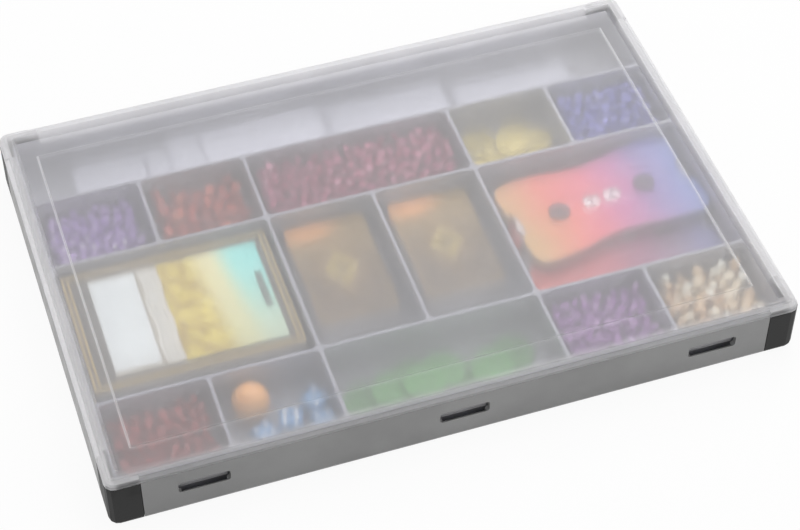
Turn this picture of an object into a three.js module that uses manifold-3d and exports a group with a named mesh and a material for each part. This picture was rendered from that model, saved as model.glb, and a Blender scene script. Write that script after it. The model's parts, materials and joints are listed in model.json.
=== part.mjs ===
// A flat storage box for game counters: a tray with a translucent lid that snaps
// into windows in the tray's walls, four soft corner guards, a compartment insert,
// and the cards, counters and playing pieces that the insert holds.
// Millimetres, +Z up, origin at the middle of the underside, the front faces -Y.

import * as THREE from 'three';
import { mergeVertices } from 'three/addons/utils/BufferGeometryUtils.js';
import Module from 'manifold-3d';

const wasm = await Module();
wasm.setup();

// Driving dimensions of the whole box
const boxWidth = 361.4;
const boxDepth = 249.4;
const boxHeight = 33;
const boxCornerRadius = 5;
const smallestRadius = 0.8;
const seatGap = 0.3;
const overrun = 2;
const arcSteps = 3;

// Base tray
const trayHeight = 28.2;
const trayWall = 2.7;
const trayFloor = 3.3;
const trayTopRound = 0.4;
const trayFootRound = 2;
const trayPostWall = 1.6;
const footWidth = 9;
const footRecess = 1.9;
const kerbHeight = 3;
const kerbClearance = 0.5;

// Soft corner guards, let into the tray's corners
const guardArmX = 17;
const guardArmY = 20;
const guardWall = 2.4;
const guardHeight = 27.6;
const guardStudDiameter = 4;
const guardStudRoot = 0.6;
const guardStudLength = 1.8;
const guardStudHeight = 14.3;
const guardStudSides = 12;

// Lid
const lidWall = 1.6;
const lidSideGap = 0.8;
const lidRimRise = 3.4;
const lidRimWidth = 3.2;
const lidRimSlopeRun = 2;
const lidEdgeRound = 1.5;
const lidFlange = 1.4;
const lidFlangeRound = 0.6;
const lidRimInset = 2.4;
const lidCapDrop = 1;
const lidCapRound = 3;
const lidSkirtDrop = 7.2;
const lidChannelWidth = 1.4;
const lidPanelMarginX = 17.1;
const lidPanelMarginY = 21;
const lidPanelStep = 0.5;
const lidPanelSlope = 0.6;

// Snap windows in the tray's long walls and the lid's tongues behind them
const windowWidth = 26;
const windowHeight = 7;
const windowBottom = 13;
const windowCornerRadius = 1.6;
const windowPitch = 133;
const windowCount = 3;
const windowLip = 0.5;
const windowReliefDrop = 2.6;
const tongueSideGap = 1;
const noseBite = 0.5;
const noseTopGap = 0.6;
const noseRamp = 1.3;

// Compartment insert
const insertClearance = 1;
const insertHeadroom = 1;
const insertWall = 1.2;
const insertFloor = 1.2;
const dividerWall = 1.8;
const insertColumns = 6;
const insertRows = 5;
const pocketDraft = 0.25;
const pocketCornerRadius = 2.5;
const pocketFloorRadius = 2;
const pocketFloorSteps = 2;

// Where each compartment lies: first column and row, from the rear left, then how many it spans
const compartments = {
  slips: { column: 0, row: 0, columns: 6, rows: 1 },
  violetStones: { column: 0, row: 1, columns: 1, rows: 1 },
  redStones: { column: 1, row: 1, columns: 1, rows: 1 },
  crimsonStones: { column: 2, row: 1, columns: 2, rows: 1 },
  coins: { column: 4, row: 1, columns: 1, rows: 1 },
  blueStones: { column: 5, row: 1, columns: 1, rows: 1 },
  largeCards: { column: 0, row: 2, columns: 2, rows: 2 },
  leftDeck: { column: 2, row: 2, columns: 1, rows: 2 },
  rightDeck: { column: 3, row: 2, columns: 1, rows: 2 },
  counters: { column: 4, row: 2, columns: 2, rows: 2 },
  redFrontStones: { column: 0, row: 4, columns: 1, rows: 1 },
  dice: { column: 1, row: 4, columns: 1, rows: 1 },
  tokens: { column: 2, row: 4, columns: 2, rows: 1 },
  violetFrontStones: { column: 4, row: 4, columns: 1, rows: 1 },
  amberStones: { column: 5, row: 4, columns: 1, rows: 1 },
};

// Cards
const cardCornerRadius = 3;
const deckWidth = 44;
const deckDepth = 70;
const deckHeight = 12;
const largeCardWidth = 110;
const largeCardDepth = 81;
const largeDeckHeight = 16.2;
const largeCardThickness = 0.7;
const slipWidth = 70;
const slipDepth = 31;
const slipThickness = 0.8;

// Score counters: two waisted plates, two number dials and two hub pins each
const counterLength = 105;
const counterDepth = 60;
const counterWaist = 5;
const counterCornerRadius = 8;
const counterPlate = 1.4;
const counterBackHeight = 4.6;
const dialRadius = 25.2;
const dialSpacing = 51.4;
const dialThickness = 1.6;
const dialNotches = 16;
const dialNotchDepth = 0.8;
const dialBossRadius = 6;
const dialRunGap = 0.3;
const runSides = 24;
const thumbNotchWidth = 18;
const thumbNotchDepth = 4.5;
const digitWindowWidth = 10;
const digitWindowDepth = 8.5;
const digitWindowSpacing = 12.4;
const digitWindowRadius = 3;
const hubPinRadius = 2.4;
const hubHeadRadius = 6;
const hubHeadHeight = 0.9;
const hubHeadRound = 0.3;

// Loose playing pieces
const crystalWidth = 18;
const crystalHeight = 10;
const crystalSides = 6;
const crystalGirdleShare = 0.42;
const crystalTableShare = 0.58;
const crystalSpacingShare = 0.64;
const crystalLiftShare = 0.5;
const crystalTiltLeast = 4;
const crystalTiltSpread = 30;
const crystalTiltStepShare = 0.29;
const crystalTurnStepShare = 0.618;
const crystalSizeStepShare = 0.23;
const crystalSizeSpreadShare = 0.125;
const crystalTopStride = 3;
const ballDiameter = 20;
const ballSides = 16;
const dieSize = 12;
const dieEdgeRound = 1.4;
const coinDiameter = 20;
const coinThickness = 2;
const tokenDiameter = 24;
const tokenThickness = 2.4;
const discRimWidth = 1.6;
const discRimHeight = 0.4;
const discSides = 12;

// Sizes that follow from those above
const skirtInset = trayWall + lidSideGap;
const insertInset = skirtInset + lidWall + insertClearance;
const insertWidth = boxWidth - 2 * insertInset;
const insertDepth = boxDepth - 2 * insertInset;
const panelTop = boxHeight - lidRimRise;
const panelUnderside = panelTop - lidWall;
const insertTop = panelUnderside - insertHeadroom;
const insertBottom = trayFloor + seatGap;
const pocketFloor = insertBottom + insertFloor;
const contentsFloor = pocketFloor + seatGap;
const skirtBottom = boxHeight - lidSkirtDrop;
const windowTop = windowBottom + windowHeight;
const tongueWidth = windowWidth - 2 * tongueSideGap;
const counterHeight = counterBackHeight + counterPlate + hubHeadHeight + 2 * seatGap;

// Solids and geometries

function toSolid(geometry) {
  const bare = geometry.clone();
  bare.deleteAttribute('normal');
  bare.deleteAttribute('uv');
  const merged = mergeVertices(bare);
  const corners = merged.index.array;
  const kept = [];
  for (let i = 0; i < corners.length; i += 3) {
    const [a, b, c] = [corners[i], corners[i + 1], corners[i + 2]];
    if (a !== b && b !== c && c !== a) kept.push(a, b, c);
  }
  return new wasm.Manifold(new wasm.Mesh({
    numProp: 3,
    vertProperties: Float32Array.from(merged.attributes.position.array),
    triVerts: Uint32Array.from(kept),
  }));
}

function toGeometry(solid) {
  const mesh = solid.getMesh();
  const geometry = new THREE.BufferGeometry();
  geometry.setAttribute('position', new THREE.BufferAttribute(mesh.vertProperties, mesh.numProp));
  geometry.setIndex(new THREE.BufferAttribute(mesh.triVerts, 1));
  geometry.computeVertexNormals();
  return geometry;
}

function joined(solids) {
  return solids.reduce((whole, next) => whole.add(next));
}

// Outlines and lofts

function roundedRectangle(width, depth, radius) {
  const signs = [[1, 1], [-1, 1], [-1, -1], [1, -1]];
  const points = [];
  signs.forEach(([sideX, sideY], quarter) => {
    for (let step = 0; step <= arcSteps; step++) {
      const angle = (quarter + step / arcSteps) * Math.PI / 2;
      const x = sideX * (width / 2 - radius) + radius * Math.cos(angle);
      const y = sideY * (depth / 2 - radius) + radius * Math.sin(angle);
      points.push([x, y]);
    }
  });
  return points;
}

// Skins a stack of convex outlines that have the same number of points
function loft(levels) {
  const count = levels[0].points.length;
  const positions = [];
  for (const { points, z } of levels) {
    points.forEach(([x, y]) => positions.push(x, y, z));
  }
  const faces = [];
  for (let level = 0; level < levels.length - 1; level++) {
    for (let i = 0; i < count; i++) {
      const a = level * count + i;
      const b = level * count + (i + 1) % count;
      faces.push(a, b, b + count, a, b + count, a + count);
    }
  }
  const last = (levels.length - 1) * count;
  for (let i = 1; i < count - 1; i++) {
    faces.push(0, i + 1, i, last, last + i, last + i + 1);
  }
  const geometry = new THREE.BufferGeometry();
  geometry.setAttribute('position', new THREE.Float32BufferAttribute(positions, 3));
  geometry.setIndex(faces);
  return toSolid(geometry);
}

// A block whose outline is the box's own, drawn in by a given inset at each height
function boxBlock(steps) {
  return loft(steps.map(([inset, z]) => ({
    points: roundedRectangle(
      boxWidth - 2 * inset, boxDepth - 2 * inset, Math.max(boxCornerRadius - inset, smallestRadius)),
    z,
  })));
}

function plainBlock(lowX, highX, lowY, highY, lowZ, highZ) {
  const geometry = new THREE.BoxGeometry(highX - lowX, highY - lowY, highZ - lowZ);
  geometry.translate((lowX + highX) / 2, (lowY + highY) / 2, (lowZ + highZ) / 2);
  return toSolid(geometry);
}

// Quarter-round steps: [inset, z] pairs that round the top edge of a block
function roundedTop(inset, top, radius) {
  const steps = [];
  for (let step = 0; step <= arcSteps - 1; step++) {
    const angle = step / (arcSteps - 1) * Math.PI / 2;
    steps.push([inset + radius * (1 - Math.cos(angle)), top - radius * (1 - Math.sin(angle))]);
  }
  return steps;
}

// The same for the bottom edge
function roundedFoot(radius) {
  return roundedTop(0, radius, radius).reverse().map(([inset, z]) => [inset, radius - z]);
}

// The four corner regions of the box, as blocks whose arms can be made longer or shorter
function cornerBlock(sideX, sideY, armChange, lowZ, highZ) {
  const nearX = boxWidth / 2 - guardArmX - armChange;
  const nearY = boxDepth / 2 - guardArmY - armChange;
  const farX = boxWidth / 2 + overrun;
  const farY = boxDepth / 2 + overrun;
  const [lowX, highX] = sideX > 0 ? [nearX, farX] : [-farX, -nearX];
  const [lowY, highY] = sideY > 0 ? [nearY, farY] : [-farY, -nearY];
  return plainBlock(lowX, highX, lowY, highY, lowZ, highZ);
}

const cornerSides = [[-1, -1], [1, -1], [1, 1], [-1, 1]];

function allCorners(armChange, lowZ, highZ) {
  return joined(cornerSides.map(([sideX, sideY]) => cornerBlock(sideX, sideY, armChange, lowZ, highZ)));
}

// Extrudes a profile of [distance in from the long wall's face, height] points along X
function wallProfile(profile, width, centreX, side) {
  const shape = new THREE.Shape(profile.map(([inward, z]) => new THREE.Vector2(inward, z)));
  const geometry = new THREE.ExtrudeGeometry(shape, { depth: width, bevelEnabled: false });
  geometry.rotateX(Math.PI / 2);
  geometry.rotateZ(Math.PI / 2);
  geometry.translate(-width / 2, -boxDepth / 2, 0);
  if (side > 0) geometry.rotateZ(Math.PI);
  geometry.translate(centreX, 0, 0);
  return toSolid(geometry);
}

function windowCentres() {
  return Array.from({ length: windowCount }, (_, i) => (i - (windowCount - 1) / 2) * windowPitch);
}

// Base tray

function trayShell() {
  const outside = boxBlock([...roundedFoot(trayFootRound), ...roundedTop(0, trayHeight, trayTopRound)]);
  const inside = boxBlock([[trayWall, trayFloor], [trayWall, trayHeight + overrun]]);
  const underside = boxBlock([[footWidth, -overrun], [footWidth, footRecess]]);
  return outside.subtract(inside).subtract(underside);
}

// A low kerb round the floor that keeps the insert in its place
function trayKerb() {
  const outer = boxBlock([[trayWall / 2, trayFloor / 2], [trayWall / 2, trayFloor + kerbHeight]]);
  const inner = boxBlock([
    [insertInset - kerbClearance, 0], [insertInset - kerbClearance, trayFloor + kerbHeight + overrun],
  ]);
  return outer.subtract(inner);
}

// At each corner the wall steps inwards behind the guard
function trayCornerPosts() {
  const outer = boxBlock([[trayFootRound, 0], [trayFootRound, guardHeight]]);
  const postInset = guardWall + seatGap + trayPostWall;
  const inner = boxBlock([[postInset, -overrun], [postInset, guardHeight + overrun]]);
  return outer.subtract(inner).intersect(allCorners(trayPostWall, 0, guardHeight));
}

function trayCornerRecess() {
  const outer = boxBlock([[-overrun, -overrun], [-overrun, trayHeight + overrun]]);
  const recess = guardWall + seatGap;
  const inner = boxBlock([[recess, -2 * overrun], [recess, trayHeight + 2 * overrun]]);
  const clearAbove = allCorners(0, guardHeight, trayHeight + overrun);
  const recessed = outer.subtract(inner).intersect(allCorners(0, -overrun, trayHeight + overrun));
  return recessed.add(clearAbove);
}

// A slot through the wall whose lower lip is thinned from inside
function snapWindow(centreX, side) {
  const shape = new THREE.Shape(
    roundedRectangle(windowWidth, windowHeight, windowCornerRadius).map(([x, z]) => new THREE.Vector2(x, z)));
  const cutDepth = trayWall + 2 * overrun;
  const slot = new THREE.ExtrudeGeometry(shape, { depth: cutDepth, bevelEnabled: false });
  slot.rotateX(Math.PI / 2);
  slot.translate(0, cutDepth - overrun - boxDepth / 2, windowBottom + windowHeight / 2);
  if (side > 0) slot.rotateZ(Math.PI);
  slot.translate(centreX, 0, 0);
  const reliefWidth = windowWidth - 2 * windowCornerRadius;
  const relief = wallProfile([
    [windowLip, windowBottom], [trayWall + overrun, windowBottom - windowReliefDrop - overrun],
    [trayWall + overrun, windowBottom + overrun], [windowLip, windowBottom + overrun],
  ], reliefWidth, centreX, side);
  return toSolid(slot).add(relief);
}

// The two studs inside a guard's arms, or the holes that take them
function guardStuds(sideX, sideY, radius, reach) {
  const start = guardWall - guardStudRoot;
  const length = guardStudRoot + reach;
  const sideStud = new THREE.CylinderGeometry(radius, radius, length, guardStudSides);
  sideStud.rotateZ(Math.PI / 2);
  sideStud.translate(
    sideX * (boxWidth / 2 - start - length / 2), sideY * (boxDepth / 2 - guardArmY / 2), guardStudHeight);
  const faceStud = new THREE.CylinderGeometry(radius, radius, length, guardStudSides);
  faceStud.translate(
    sideX * (boxWidth / 2 - guardArmX / 2), sideY * (boxDepth / 2 - start - length / 2), guardStudHeight);
  return toSolid(sideStud).add(toSolid(faceStud));
}

function baseTray() {
  let tray = trayShell().add(trayKerb()).add(trayCornerPosts()).subtract(trayCornerRecess());
  const holeRadius = guardStudDiameter / 2 + seatGap;
  for (const [sideX, sideY] of cornerSides) {
    tray = tray.subtract(guardStuds(sideX, sideY, holeRadius, guardStudLength + overrun));
  }
  for (const centreX of windowCentres()) {
    tray = tray.subtract(snapWindow(centreX, -1)).subtract(snapWindow(centreX, 1));
  }
  return tray;
}

function cornerGuard(sideX, sideY) {
  const outside = boxBlock([...roundedFoot(trayFootRound), [0, guardHeight]]);
  const inside = boxBlock([[guardWall, -overrun], [guardWall, guardHeight + overrun]]);
  const arms = outside.subtract(inside).intersect(cornerBlock(sideX, sideY, -seatGap, 0, guardHeight));
  return arms.add(guardStuds(sideX, sideY, guardStudDiameter / 2, guardStudLength));
}

// Lid

// One tongue with its snap nose, hanging from the skirt behind a window
function lidTongue(centreX, side) {
  const noseInset = skirtInset - noseBite;
  const noseTop = windowTop - noseTopGap;
  const innerInset = skirtInset + lidWall;
  return wallProfile([
    [skirtInset, skirtBottom + overrun], [skirtInset, noseTop + noseBite], [noseInset, noseTop],
    [noseInset, windowBottom + noseRamp], [skirtInset, windowBottom],
    [innerInset - noseBite, windowBottom], [innerInset, windowBottom + noseRamp],
    [innerInset, skirtBottom + overrun],
  ], tongueWidth, centreX, side);
}

// A skirt inside the walls, a flange that lies on their tops, and the rim set in on the flange
function lidOutside() {
  const flangeBottom = trayHeight + seatGap;
  const flangeTop = flangeBottom + lidFlange;
  const skirt = boxBlock([[skirtInset, skirtBottom], [skirtInset, flangeTop]]);
  const flange = boxBlock([[0, flangeBottom], ...roundedTop(0, flangeTop, lidFlangeRound)]);
  const rim = boxBlock([[lidRimInset, flangeBottom], ...roundedTop(lidRimInset, boxHeight, lidEdgeRound)]);
  return skirt.add(flange).add(rim);
}

// Over each corner guard the rim steps out to the box's full outline
function lidCornerCaps() {
  const capTop = boxHeight - lidCapDrop;
  const cap = boxBlock([[0, guardHeight + seatGap], ...roundedTop(0, capTop, lidCapRound)]);
  return cap.intersect(allCorners(-seatGap, guardHeight, boxHeight + overrun));
}

function lidCapHollows() {
  const top = boxHeight - lidCapDrop - lidWall;
  const hollow = boxBlock([[lidWall, guardHeight], [lidWall, top]]);
  return hollow.intersect(allCorners(-seatGap - lidWall, guardHeight, boxHeight));
}

// The space under the raised rim: out to the skirt, in to the sloping wall of the rim
function lidUnderRim() {
  const top = boxHeight - lidWall;
  const skirtFace = skirtInset + lidWall;
  const outer = boxBlock([[skirtFace, panelUnderside - overrun], [skirtFace, top]]).add(lidCapHollows());
  const slope = lidRimSlopeRun / lidRimRise * (top - panelUnderside + overrun);
  const inner = boxBlock([
    [skirtFace + lidChannelWidth + slope, panelUnderside - overrun], [skirtFace + lidChannelWidth, top],
    [skirtFace + lidChannelWidth, top + overrun],
  ]);
  const cavity = boxBlock([[skirtFace, skirtBottom - overrun], [skirtFace, panelUnderside]]);
  return outer.subtract(inner).add(cavity);
}

function lidRecess() {
  const rimInset = skirtInset + lidRimWidth;
  const floorInset = rimInset + lidRimSlopeRun;
  return boxBlock([[floorInset, panelTop], [rimInset, boxHeight], [rimInset, boxHeight + overrun]]);
}

function lidRaisedPanel() {
  const level = (inset, z) => ({
    points: roundedRectangle(
      boxWidth - 2 * (lidPanelMarginX + inset), boxDepth - 2 * (lidPanelMarginY + inset), smallestRadius),
    z,
  });
  return loft([
    level(0, panelTop - lidWall / 2), level(0, panelTop), level(lidPanelSlope, panelTop + lidPanelStep),
  ]);
}

function lid() {
  const skirtBand = boxBlock([[-overrun, skirtBottom - overrun], [-overrun, guardHeight + seatGap]])
    .subtract(boxBlock([[skirtInset + lidWall, skirtBottom - 2 * overrun],
      [skirtInset + lidWall, guardHeight + overrun]]));
  const cornerCut = skirtBand.intersect(
    allCorners(trayPostWall + lidSideGap, skirtBottom - overrun, guardHeight + seatGap));
  let shell = lidOutside().subtract(cornerCut).add(lidCornerCaps());
  shell = shell.subtract(lidUnderRim()).subtract(lidRecess()).add(lidRaisedPanel());
  for (const centreX of windowCentres()) {
    shell = shell.add(lidTongue(centreX, -1)).add(lidTongue(centreX, 1));
  }
  return shell;
}

// Compartment insert

// The clear space of one compartment at its rim
function compartment(name) {
  const { column, row, columns, rows } = compartments[name];
  const spanX = insertWidth - 2 * insertWall;
  const spanY = insertDepth - 2 * insertWall;
  const pitchX = (spanX + dividerWall) / insertColumns;
  const pitchY = (spanY + dividerWall) / insertRows;
  const width = columns * pitchX - dividerWall;
  const depth = rows * pitchY - dividerWall;
  return {
    width,
    depth,
    x: -spanX / 2 + column * pitchX + width / 2,
    y: spanY / 2 - row * pitchY - depth / 2,
  };
}

// A pocket drafts inwards to a rounded floor
function pocket(name) {
  const { width, depth, x, y } = compartment(name);
  const level = (inset, z) => ({
    points: roundedRectangle(
      width - 2 * inset, depth - 2 * inset, Math.max(pocketCornerRadius - inset, smallestRadius))
      .map(([pointX, pointY]) => [pointX + x, pointY + y]),
    z,
  });
  const levels = [];
  for (let step = 0; step <= pocketFloorSteps; step++) {
    const angle = step / pocketFloorSteps * Math.PI / 2;
    levels.push(level(
      pocketDraft + pocketFloorRadius * (1 - Math.sin(angle)),
      pocketFloor + pocketFloorRadius * (1 - Math.cos(angle))));
  }
  return loft([...levels, level(0, insertTop), level(0, insertTop + overrun)]);
}

function compartmentInsert() {
  const level = (z) => ({ points: roundedRectangle(insertWidth, insertDepth, pocketCornerRadius), z });
  const block = loft([level(insertBottom), level(insertTop)]);
  return Object.keys(compartments).reduce((tray, name) => tray.subtract(pocket(name)), block);
}

// Cards

function cardBlock(width, depth, height) {
  const points = roundedRectangle(width, depth, cardCornerRadius);
  return loft([{ points, z: 0 }, { points, z: height }]);
}

// Score counter

function counterOutline() {
  const halfLength = counterLength / 2;
  const halfDepth = counterDepth / 2;
  const waistDepth = halfDepth - counterWaist;
  const bend = halfLength - 2 * counterCornerRadius;
  const shape = new THREE.Shape();
  shape.moveTo(-bend, -halfDepth);
  shape.bezierCurveTo(-bend / 2, -halfDepth, -bend / 2, -waistDepth, 0, -waistDepth);
  shape.bezierCurveTo(bend / 2, -waistDepth, bend / 2, -halfDepth, bend, -halfDepth);
  const centreX = halfLength - counterCornerRadius;
  const centreY = halfDepth - counterCornerRadius;
  shape.absarc(centreX, -centreY, counterCornerRadius, -Math.PI / 2, 0, false);
  shape.absarc(centreX, centreY, counterCornerRadius, 0, Math.PI / 2, false);
  shape.lineTo(bend, halfDepth);
  shape.bezierCurveTo(bend / 2, halfDepth, bend / 2, waistDepth, 0, waistDepth);
  shape.bezierCurveTo(-bend / 2, waistDepth, -bend / 2, halfDepth, -bend, halfDepth);
  shape.absarc(-centreX, centreY, counterCornerRadius, Math.PI / 2, Math.PI, false);
  shape.absarc(-centreX, -centreY, counterCornerRadius, Math.PI, 1.5 * Math.PI, false);
  return shape;
}

function extruded(shape, height) {
  const options = { depth: height, bevelEnabled: false, curveSegments: arcSteps };
  return toSolid(new THREE.ExtrudeGeometry(shape, options));
}

function moved(solid, x, y, z) {
  return solid.translate([x, y, z]);
}

function roundBlock(radius, height, sides) {
  const geometry = new THREE.CylinderGeometry(radius, radius, height, sides);
  geometry.rotateX(Math.PI / 2);
  geometry.translate(0, 0, height / 2);
  return toSolid(geometry);
}

// Cut-outs at both ends where a thumb reaches the dials
function thumbNotches(height) {
  const reach = thumbNotchDepth + overrun;
  const notch = new THREE.Shape(
    roundedRectangle(2 * reach, thumbNotchWidth, thumbNotchDepth).map(([x, y]) => new THREE.Vector2(x, y)));
  const block = moved(extruded(notch, height + 2 * overrun), 0, 0, -overrun);
  const centre = counterLength / 2 + overrun;
  return moved(block, -centre, 0, 0).add(moved(block, centre, 0, 0));
}

function dialCentres() {
  return [-dialSpacing / 2, dialSpacing / 2];
}

function counterCover() {
  let plate = extruded(counterOutline(), counterPlate).subtract(thumbNotches(counterPlate));
  const window = new THREE.Shape(
    roundedRectangle(digitWindowWidth, digitWindowDepth, digitWindowRadius)
      .map(([x, y]) => new THREE.Vector2(x, y)));
  const windowCut = moved(extruded(window, counterPlate + 2 * overrun), 0, 0, -overrun);
  const pinCut = moved(
    roundBlock(hubPinRadius + dialRunGap, counterPlate + 2 * overrun, discSides), 0, 0, -overrun);
  dialCentres().forEach((x) => {
    plate = plate.subtract(moved(windowCut, Math.sign(x) * digitWindowSpacing / 2, 0, 0));
    plate = plate.subtract(moved(pinCut, x, 0, 0));
  });
  return moved(plate, 0, 0, counterBackHeight + seatGap);
}

function counterBack() {
  const body = extruded(counterOutline(), counterBackHeight);
  const runRadius = dialRadius + dialRunGap;
  const bossHeight = counterBackHeight - dialThickness - dialRunGap;
  const run = roundBlock(runRadius, counterBackHeight, runSides);
  const boss = roundBlock(dialBossRadius, bossHeight, discSides);
  const hollows = dialCentres().map((x) => moved(run, x, 0, counterPlate).subtract(moved(boss, x, 0, 0)));
  return body.subtract(joined(hollows)).subtract(thumbNotches(counterBackHeight));
}

// A number dial with a notched rim and a bore for its pin
function counterDial() {
  const points = [];
  const steps = 2 * dialNotches;
  for (let i = 0; i < steps; i++) {
    const angle = i / steps * 2 * Math.PI;
    const radius = i % 2 === 0 ? dialRadius : dialRadius - dialNotchDepth;
    points.push(new THREE.Vector2(radius * Math.cos(angle), radius * Math.sin(angle)));
  }
  const bore = roundBlock(hubPinRadius + dialRunGap, dialThickness + 2 * overrun, discSides);
  const dial = extruded(new THREE.Shape(points), dialThickness).subtract(moved(bore, 0, 0, -overrun));
  return moved(dial, 0, 0, counterBackHeight - dialThickness);
}

// A pin with a broad low head that stands on the boss and passes through dial and cover
function counterHub() {
  const foot = counterBackHeight - dialThickness;
  const headFoot = counterBackHeight + counterPlate + 2 * seatGap;
  const headTop = headFoot + hubHeadHeight;
  const profile = [
    [0, foot], [hubPinRadius, foot], [hubPinRadius, headFoot], [hubHeadRadius, headFoot],
    [hubHeadRadius, headTop - hubHeadRound], [hubHeadRadius - hubHeadRound, headTop], [0, headTop],
  ];
  return revolved(profile, discSides);
}

function revolved(profile, sides) {
  const geometry = new THREE.LatheGeometry(profile.map(([r, z]) => new THREE.Vector2(r, z)), sides);
  geometry.rotateX(Math.PI / 2);
  return toSolid(geometry);
}

// Playing pieces

// A coin or token: a disc with a raised rim on its upper face
function disc(diameter, thickness) {
  const radius = diameter / 2;
  const faceRadius = radius - discRimWidth;
  return revolved([
    [0, 0], [radius, 0], [radius, thickness], [faceRadius, thickness],
    [faceRadius - discRimHeight, thickness - discRimHeight], [0, thickness - discRimHeight],
  ], discSides);
}

function die() {
  const level = (inset, z) => ({
    points: roundedRectangle(dieSize - 2 * inset, dieSize - 2 * inset, dieEdgeRound), z,
  });
  return loft([
    level(dieEdgeRound, 0), level(0, dieEdgeRound),
    level(0, dieSize - dieEdgeRound), level(dieEdgeRound, dieSize),
  ]);
}

function ball() {
  const geometry = new THREE.SphereGeometry(ballDiameter / 2, ballSides, ballSides / 2);
  geometry.rotateX(Math.PI / 2);
  geometry.translate(0, 0, ballDiameter / 2);
  return toSolid(geometry);
}

// A cut stone: pointed below the girdle, with a flat table above it
function crystal(scaleShare) {
  const radius = crystalWidth / 2 * scaleShare;
  const height = crystalHeight * scaleShare;
  return revolved([
    [0, 0], [radius, height * crystalGirdleShare], [radius * crystalTableShare, height], [0, height],
  ], crystalSides);
}

// Evenly spread values between 0 and 1 that don't repeat
function spread(index, stepShare) {
  return index * stepShare % 1;
}

// Stones poured into a compartment: a bottom layer in rows, and a few more on top of it
function crystalHeap(name, turnShare) {
  const { width, depth } = compartment(name);
  const pitch = crystalWidth * crystalSpacingShare;
  const margin = pocketFloorRadius + pocketDraft + seatGap + crystalWidth / 2;
  const columns = Math.max(1, Math.floor((width - 2 * margin) / pitch) + 1);
  const rows = Math.max(1, Math.floor((depth - 2 * margin) / pitch) + 1);
  const stones = [];
  const place = (x, y, z, index) => {
    const tilt = crystalTiltLeast + crystalTiltSpread * spread(index, crystalTiltStepShare + turnShare);
    const turn = 360 * spread(index, crystalTurnStepShare + turnShare);
    const scaleShare = 1 - crystalSizeSpreadShare * spread(index, crystalSizeStepShare);
    const stone = crystal(scaleShare).rotate([tilt, 0, turn]);
    stones.push(moved(stone, x, y, z - stone.boundingBox().min[2]));
  };
  for (let row = 0; row < rows; row++) {
    for (let column = 0; column < columns; column++) {
      const x = (column - (columns - 1) / 2) * pitch;
      const y = (row - (rows - 1) / 2) * pitch;
      place(x, y, 0, stones.length + 1);
    }
  }
  for (let row = 1; row < rows; row++) {
    for (let column = 1 + (row % 2); column < columns; column += crystalTopStride) {
      const x = (column - columns / 2) * pitch;
      const y = (row - rows / 2) * pitch;
      place(x, y, crystalHeight * crystalLiftShare, stones.length + 1);
    }
  }
  return joined(stones);
}

// The assembled box

const box = new THREE.Group();

function addPiece(name, solid, look, place = {}) {
  const { x = 0, y = 0, z = 0, turn = 0, parent = box } = place;
  const mesh = new THREE.Mesh(toGeometry(solid), new THREE.MeshStandardMaterial(look));
  mesh.name = name;
  mesh.position.set(x, y, z);
  mesh.rotation.z = turn;
  parent.add(mesh);
}

const looks = {
  tray: { color: 0x8c8c8e, roughness: 0.55, metalness: 0 },
  guard: { color: 0x26262a, roughness: 0.7, metalness: 0 },
  insert: { color: 0x77787c, roughness: 0.5, metalness: 0 },
  lid: { color: 0xd8dade, roughness: 0.45, metalness: 0, transparent: true, opacity: 0.5 },
  slip: { color: 0xf2f2f8, roughness: 0.8, metalness: 0 },
  picture: { color: 0xe3d38a, roughness: 0.5, metalness: 0 },
  deck: { color: 0x7a5a34, roughness: 0.6, metalness: 0 },
  counter: { color: 0xe0607a, roughness: 0.4, metalness: 0 },
  counterBack: { color: 0x2d2d30, roughness: 0.5, metalness: 0 },
  dial: { color: 0xf4f4f4, roughness: 0.5, metalness: 0 },
  hub: { color: 0x303036, roughness: 0.4, metalness: 0 },
  coin: { color: 0xd9b240, roughness: 0.35, metalness: 0.6 },
  green: { color: 0x3f9a45, roughness: 0.4, metalness: 0 },
  orange: { color: 0xf0943c, roughness: 0.35, metalness: 0 },
  blue: { color: 0x3d64c4, roughness: 0.2, metalness: 0 },
  violet: { color: 0x7a4bb0, roughness: 0.2, metalness: 0 },
  red: { color: 0xc83a2c, roughness: 0.3, metalness: 0 },
  crimson: { color: 0xb01f4a, roughness: 0.2, metalness: 0 },
  amber: { color: 0xd8a548, roughness: 0.15, metalness: 0 },
};

addPiece('base_tray', baseTray(), looks.tray);
addPiece('corner_guard_front_left', cornerGuard(-1, -1), looks.guard);
addPiece('corner_guard_front_right', cornerGuard(1, -1), looks.guard);
addPiece('corner_guard_rear_right', cornerGuard(1, 1), looks.guard);
addPiece('corner_guard_rear_left', cornerGuard(-1, 1), looks.guard);
addPiece('compartment_insert', compartmentInsert(), looks.insert);
addPiece('lid', lid(), looks.lid);

// Places a piece in a compartment, by shares of its clear width and depth from its middle
function addContent(name, solid, look, compartmentName, [shareX, shareY], z = 0, turn = 0) {
  const { width, depth, x, y } = compartment(compartmentName);
  addPiece(name, solid, look, {
    x: x + width * shareX, y: y + depth * shareY, z: contentsFloor + z, turn,
  });
}

const largeCardShares = [0, 0.035];
const leftDeckShares = [0, 0.095];
const rightDeckShares = [-0.005, 0.095];
addContent('large_card_deck', cardBlock(largeCardWidth, largeCardDepth, largeDeckHeight),
  looks.deck, 'largeCards', largeCardShares);
addContent('large_picture_card', cardBlock(largeCardWidth, largeCardDepth, largeCardThickness),
  looks.picture, 'largeCards', largeCardShares, largeDeckHeight + seatGap);
addContent('card_deck_left', cardBlock(deckWidth, deckDepth, deckHeight),
  looks.deck, 'leftDeck', leftDeckShares);
addContent('card_deck_right', cardBlock(deckWidth, deckDepth, deckHeight),
  looks.deck, 'rightDeck', rightDeckShares);

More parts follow.
